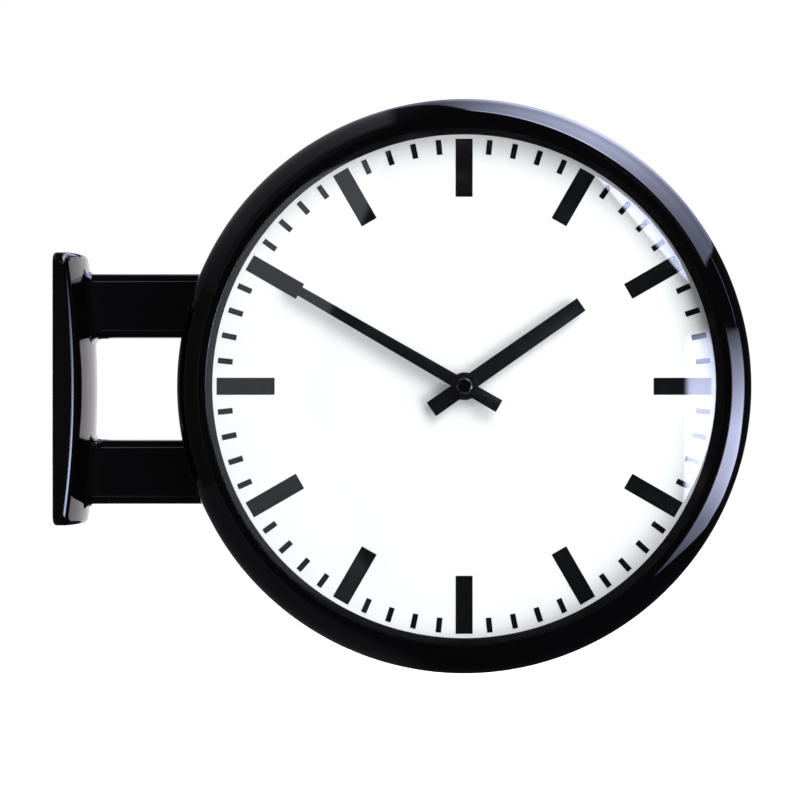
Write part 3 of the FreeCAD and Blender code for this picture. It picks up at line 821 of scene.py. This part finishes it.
view = {"place": (0.1864, -1.4, -0.006), "lens": 114.7, "sensor": 36.0, "nearest": 0.05}
leaveAll()
bpy.ops.object.camera_add(location=view["place"], rotation=(math.pi / 2, 0, 0))
camera = bpy.context.object
camera.name = "frontCamera"
camera.data.lens = view["lens"]
camera.data.sensor_width = view["sensor"]
camera.data.clip_start = view["nearest"]
bpy.context.scene.camera = camera
bpy.context.scene.view_settings.view_transform = "Standard"
print("studio, floor, lamps and camera are set")

black = glossBlack()
glass = clearLens()
satin = handBlack()
dullBlack = mouldedPlastic("blackMoulding")

# the bezels: a quarter round from the crest to the skirt, with a lip over the lens and a rib behind it

bezel = {
    "outerR": 154.98, "wall": 3.0, "round": 14.0, "crest": 38.0, "flat": 7.5, "skirtEnd": 18.3,
    "lipR": 138.7, "lipFootR": 139.1, "lipFoot": 36.0, "ribIn": 141.3, "ribOut": 143.3, "ribFoot": 25.0,
}


def makeBezel():
    b = bezel
    middle = (b["outerR"] - b["round"], b["crest"] - b["round"])
    inside = b["round"] - b["wall"]
    turn = math.degrees(math.acos((b["ribOut"] - middle[0]) / inside))
    start = 90 - b["flat"]
    quarter = arc(middle, b["round"], start, start - 0.3, 1) + arc(middle, b["round"], start - 2, 0, 32)
    r, d = quarter[0]
    corners = [(b["lipFootR"], b["lipFoot"]), (b["lipR"], d, 0.1), (r - 0.05, d)] + quarter
    corners += [(b["outerR"], b["skirtEnd"], 0.5), (b["outerR"] - b["wall"], b["skirtEnd"], 0.3)]
    corners += arc(middle, inside, 0, turn, 10)
    corners += [(b["ribOut"], b["ribFoot"], 0.2), (b["ribIn"], b["ribFoot"], 0.2), (b["ribIn"], b["lipFoot"])]
    return spun("bezel", eased(corners), 288)


bothSides(makeBezel(), "Bezel", "bezel", "bezel_body", black)

# the lenses: a shallow dome with a flat flange that lies under the bezel's lip

lens = {"apex": 42.0, "domeR": 138.2, "edgeR": 140.9, "edge": 36.0, "thick": 2.2}


def makeLens():
    rise = lens["apex"] - lens["edge"]
    curve = (lens["domeR"] ** 2 + rise**2) / (2 * rise)
    outline = []
    for drop, radii in ((0, range(0, 25)), (lens["thick"], range(24, -1, -1))):
        for k in radii:
            r = lens["domeR"] * k / 24
            outline.append((r, lens["apex"] - drop - curve + math.sqrt(curve**2 - r**2)))
        if not drop:
            outline += [(lens["edgeR"], lens["edge"]), (lens["edgeR"], lens["edge"] - lens["thick"])]
    return spun("lens", outline, 192, closed=False)


bothSides(makeLens(), "Lens", "lens", "bezel_body", glass)

# the lens rings: the dark inner wall between the dial and the lens

lensRing = {"footR": 135.7, "topR": 138.5, "outerR": 140.9, "foot": 24.35, "top": 33.78}


def makeLensRing():
    g = lensRing
    corners = [
        (g["footR"], g["foot"], 0.4), (g["topR"], g["top"], 0.15),
        (g["outerR"], g["top"], 0.1), (g["outerR"], g["foot"], 0.1),
    ]
    return spun("lensRing", eased(corners), 256)


bothSides(makeLensRing(), "LensRing", "lens_ring", "bezel_body", dullBlack)

# the drum's band with its rims, its two dial ledges and the two blocks that the arms' bars seat in

drum = {
    "bandR": 153.0, "bandHalf": 17.8, "rimR": 151.5, "rimEnd": 24.0, "innerR": 149.0,
    "ledgeR": 141.0, "ledgeTop": 22.5, "ledgeFoot": 20.5,
    "blockFace": -131.0, "blockBack": -152.0, "blockTall": 38.0, "blockWide": 28.0, "blockR": 150.8,
    "barFace": -126.0, "barBack": -158.0, "barTall": 20.6, "barWide": 14.6, "heights": (43.85, -46.65),
}


def boxAt(low, high):
    # a box between two corners, in millimetres from the clock's middle
    x, y, z = ((a + b) / 2 * mm for a, b in zip(low, high))
    size = [(b - a) * mm for a, b in zip(low, high)]
    leaveAll()
    bpy.ops.mesh.primitive_cube_add(size=1, location=(clock["x"] + x, y, clock["z"] + z), scale=size)
    piece = bpy.context.object
    settle(piece)
    return piece


def armBox(height, kind):
    # the block that an arm's bar seats in, or the hole for the bar
    wide, tall = drum[kind + "Wide"] / 2, drum[kind + "Tall"] / 2
    return boxAt((drum[kind + "Back"], -wide, height - tall), (drum[kind + "Face"], wide, height + tall))


def axleRod(radius, depth, vertices, d=0):
    # a rod on the clock's axis to carve with, its middle d millimetres in front of the clock's
    leaveAll()
    bpy.ops.mesh.primitive_cylinder_add(
        vertices=vertices, radius=radius * mm, depth=depth * mm,
        location=(clock["x"], -d * mm, clock["z"]), rotation=(math.pi / 2, 0, 0),
    )
    return bpy.context.object


def makeDrum():
    g = drum
    outer = [
        (g["innerR"], g["rimEnd"], 0.3), (g["rimR"], g["rimEnd"], 0.5), (g["rimR"], g["bandHalf"]),
        (g["bandR"], g["bandHalf"], 0.4), (g["bandR"], -g["bandHalf"], 0.4), (g["rimR"], -g["bandHalf"]),
        (g["rimR"], -g["rimEnd"], 0.5), (g["innerR"], -g["rimEnd"], 0.3),
    ]
    inner = []
    for first, last in ((-g["ledgeTop"], -g["ledgeFoot"]), (g["ledgeFoot"], g["ledgeTop"])):
        inner += [(g["innerR"], first), (g["ledgeR"], first, 0.3)]
        inner += [(g["ledgeR"], last, 0.3), (g["innerR"], last)]
    parts = [spun("drum", eased(outer + inner), 256)]
    for height in g["heights"]:
        block = armBox(height, "block")
        carve(block, axleRod(g["blockR"], 60, 256), "INTERSECT")
        parts.append(block)
    for piece in parts:
        for height in g["heights"]:
            carve(piece, armBox(height, "bar"))
    for block in parts[1:]:
        editAll(block)
        bpy.ops.mesh.normals_make_consistent(inside=False)
        smooth(block)
    return join(parts, "drumBand")


place(makeDrum(), "base", "case_ring", black)
print("made the drum")

# the bracket: a crowned wall cover with two arms that run to the drum

cover = {
    "halfWide": 35.0, "halfTall": 73.5, "crown": 19.4, "sagAcross": 7.0, "sagUpright": 5.4,
    "wall": 2.5, "edge": 2.5, "backEdge": 2.0, "corner": 6.0,
}
arms = {
    "height": 45.25, "tall": 34.9, "wide": 26.0, "edge": 4.5, "root": 4.0, "sideRoot": 0.04, "wall": 3.0,
    "start": 20.0, "length": 40.0, "sunk": 0.03,
}
lockHole = {"x": 4.5, "r": 2.65, "foot": 71.2}


def crownAt(y, z):
    # where the cover's crowned face lies, in metres
    across = (cover["halfWide"] ** 2 + cover["sagAcross"] ** 2) / (2 * cover["sagAcross"]) * mm
    upright = (cover["halfTall"] ** 2 + cover["sagUpright"] ** 2) / (2 * cover["sagUpright"]) * mm
    drop = across - math.sqrt(max(across**2 - y**2, 0))
    return cover["crown"] * mm - upright + math.sqrt((upright - drop) ** 2 - z**2)


def onRim(point, slack):
    # whether a point of the cover's edge at the wall lies on its outer line, slack in millimetres
    corner = cover["corner"]
    y, z = abs(point.y) - (cover["halfWide"] - corner) * mm, abs(point.z) - (cover["halfTall"] - corner) * mm
    if y > -1e-6 and z > -1e-6 and math.hypot(y, z) > (corner - 0.3) * mm:
        return True
    return max(y, z) > (corner - slack) * mm


def rimEdge(a, b):
    # true for edges along that line, false for those across the wall of the cover
    return max(a.x, b.x) < 1e-6 and (onRim(a, 0.01) or onRim(b, 0.01)) and onRim(a, 0.1) and onRim(b, 0.1)


def makeCover():
    c = cover
    size = (c["crown"] * mm, 2 * c["halfWide"] * mm, 2 * c["halfTall"] * mm)
    leaveAll()
    bpy.ops.mesh.primitive_cube_add(size=1, location=(c["crown"] / 2 * mm, 0, 0), scale=size)
    piece = bpy.context.object
    settle(piece)
    chooseEdges(piece, lambda a, b: abs(a.y - b.y) < 1e-6 and abs(a.z - b.z) < 1e-6)
    bpy.ops.mesh.bevel(offset=c["corner"] * mm, segments=12, profile=0.5, affect="EDGES")
    cuts = [((0, y * mm, 0), (0, 1, 0)) for y in range(-30, 31, 5)]
    cuts += [((0, 0, z * mm), (0, 0, 1)) for z in range(-66, 67, 6)]
    for spot, across in cuts:
        bpy.ops.mesh.select_all(action="SELECT")
        bpy.ops.mesh.bisect(plane_co=spot, plane_no=across)
    chooseFaces(piece, lambda centre, normal: normal.x < -0.9)
    bpy.ops.mesh.delete(type="FACE")
    bpy.ops.object.mode_set(mode="OBJECT")
    for vertex in piece.data.vertices:
        if vertex.co.x > 10 * mm:
            vertex.co.x = crownAt(vertex.co.y, vertex.co.z)
    editAll(piece)
    bpy.ops.mesh.select_mode(type="EDGE")
    bpy.ops.mesh.select_all(action="DESELECT")
    bpy.ops.mesh.edges_select_sharp(sharpness=math.radians(40))
    bpy.ops.mesh.bevel(offset=c["edge"] * mm, segments=8, profile=0.5, affect="EDGES", clamp_overlap=False)
    thicken(piece, c["wall"] * mm)
    chooseEdges(piece, rimEdge)
    bpy.ops.mesh.bevel(offset=c["backEdge"] * mm, segments=6, profile=0.5, affect="EDGES", clamp_overlap=False)
    for end in (1, -1):
        leaveAll()
        bpy.ops.mesh.primitive_cylinder_add(
            vertices=48, radius=lockHole["r"] * mm, depth=20 * mm,
            location=(lockHole["x"] * mm, 0, end * (lockHole["foot"] + 10) * mm),
        )
        carve(piece, bpy.context.object)
    return piece


def makeArm(end):
    a = arms
    grown = 2 * a["root"]
    start = a["start"] * mm
    spot = (start, 0, end * a["height"] * mm)
    leaveAll()
    bpy.ops.mesh.primitive_plane_add(size=1, location=spot, rotation=(0, math.pi / 2, 0))
    piece = bpy.context.object
    piece.scale = ((a["tall"] + grown) * mm, (a["wide"] + grown) * mm, 1)
    settle(piece)
    editAll(piece)
    bpy.ops.mesh.bevel(offset=(a["edge"] + a["root"]) * mm, segments=10, profile=0.5, affect="VERTICES")
    bpy.ops.mesh.select_all(action="SELECT")
    last = (a["root"], 0.0)
    for k in range(1, 9):
        turn = math.radians(90 * k / 8)
        offset, height = a["root"] * (1 - math.sin(turn)), a["root"] * (1 - math.cos(turn))
        closer, higher = (last[0] - offset) * mm, (height - last[1]) * mm
        bpy.ops.mesh.inset(thickness=closer, depth=higher, use_even_offset=True)
        last = (offset, height)
    bpy.ops.mesh.extrude_region_move(TRANSFORM_OT_translate={"value": (a["length"] * mm, 0, 0)})
    bpy.ops.mesh.delete(type="ONLY_FACE")
    bpy.ops.object.mode_set(mode="OBJECT")
    band = drum["bandR"] * mm
    for vertex in piece.data.vertices:
        y, z = vertex.co.y, vertex.co.z
        if vertex.co.x > start + a["length"] / 2 * mm:
            vertex.co.x = clock["x"] - math.sqrt(band**2 - (z - clock["z"]) ** 2)
        else:
            vertex.co.x += crownAt(y, z) - start - a["sunk"] * mm
    side = a["wide"] / 2 * mm
    for vertex in piece.data.vertices:  # the root flares less at the front and back than above and below
        if abs(vertex.co.y) > side:
            vertex.co.y = math.copysign(side + (abs(vertex.co.y) - side) * a["sideRoot"], vertex.co.y)
    thicken(piece, a["wall"] * mm)
    return piece


def makeBracket():
    piece = join([makeCover(), makeArm(1), makeArm(-1)], "bracketCover")
    smooth(piece, 35)
    pick(piece)
    tool = piece.modifiers.new("flats", "WEIGHTED_NORMAL")
    tool.keep_sharp = True
    tool.weight = 60
    bpy.ops.object.modifier_apply(modifier=tool.name)
    return piece


place(makeBracket(), "base", "bracket_cover", black)
print("made the bracket")

# the hands: straight tapered blades on round bosses, both at ten to two

hands = {
    "HourHand": {
        "reach": 76.8, "tail": 21.7, "wideTail": 8.9, "wideTip": 8.1,
        "back": 28.0, "boss": 7.5, "bore": 2.5, "turn": clock["hourHand"],
    },
    "MinuteHand": {
        "reach": 109.6, "tail": 21.5, "wideTail": 7.3, "wideTip": 5.1,
        "back": 30.2, "boss": 6.5, "bore": 1.6, "turn": clock["minuteHand"],
    },
}
handSheet = {"boss": 1.4, "blade": 0.8, "edge": 0.16}


def makeHand(h):
    middle = (clock["x"], 0, clock["z"])
    low = h["back"] + (handSheet["boss"] - handSheet["blade"]) / 2
    wide = h["wideTail"] / 2
    blade = boxAt((-wide, -low - handSheet["blade"], -h["tail"]), (wide, -low, h["reach"]))
    chooseVertices(blade, lambda co: co.z > clock["z"] + 30 * mm)
    bpy.ops.transform.resize(value=(h["wideTip"] / h["wideTail"], 1, 1), center_override=middle)
    editAll(blade)
    bpy.ops.mesh.select_mode(type="EDGE")
    bpy.ops.mesh.select_all(action="SELECT")
    bpy.ops.mesh.bevel(offset=handSheet["edge"] * mm, segments=2, profile=0.5, affect="EDGES")
    carve(blade, axleRod(h["bore"] + 0.02, 4, 64, h["back"]))
    smooth(blade)
    back, top = h["back"], h["back"] + handSheet["boss"]
    corners = [(h["bore"], back, 0.1), (h["bore"], top, 0.1), (h["boss"], top, 0.3), (h["boss"], back, 0.2)]
    ring = spun("boss", eased(corners), 128)
    piece = join([blade, ring], "hand")
    editAll(piece)
    bpy.ops.transform.rotate(value=-math.radians(h["turn"]), orient_axis="Y", center_override=middle)
    leaveAll()
    return piece


bothSides(makeHand(hands["HourHand"]), "HourHand", "hour_hand", "hour_hand_body", satin)
bothSides(makeHand(hands["MinuteHand"]), "MinuteHand", "minute_hand", "minute_hand_body", satin)

cap = {"r": 4.4, "foot": 31.6, "top": 33.5, "ease": 1.2, "bore": 1.6, "seat": 32.2}


def makeCap():
    c = cap
    outline = [(0, c["top"])] + arc((c["r"] - c["ease"], c["top"] - c["ease"]), c["ease"], 90, 0, 10)
    outline += [(c["r"], c["foot"]), (c["bore"], c["foot"]), (c["bore"], c["seat"]), (0, c["seat"])]
    return spun("cap", outline, 96, closed=False)


bothSides(makeCap(), "HandCap", "hand_cap", "minute_hand_body", black)

# finishes of the nodes that keep their own shape, by their slot in the record

finishes = {
    "dial_white": whiteDial(),
    "mark_black": printInk(),
    "hand_black": satin,
    "black_gloss": black,
    "clear_glass": glass,
    "black_matte": mouldedPlastic("movementBlack"),
    "ivory_plastic": mouldedPlastic("ivoryMoulding"),
    "board_green": greenBoard(),
    "coil_copper": copperWire(),
    "soft_steel": platedSteel("softSteel"),
    "brass_bright": turnedBrass(),
    "battery_jacket": cellJacket(),
    "zinc_steel": platedSteel("zincSteel"),
    "screw_steel": platedSteel("screwSteel"),
}

dressed = 0
for part in frame["record"]["subparts"]:
    node = frame["nodes"][part["node"]]
    for slot in node.material_slots:
        slot.material = finishes[part["material_slot"]]
    dressed += 1
print("dressed", dressed, "nodes")
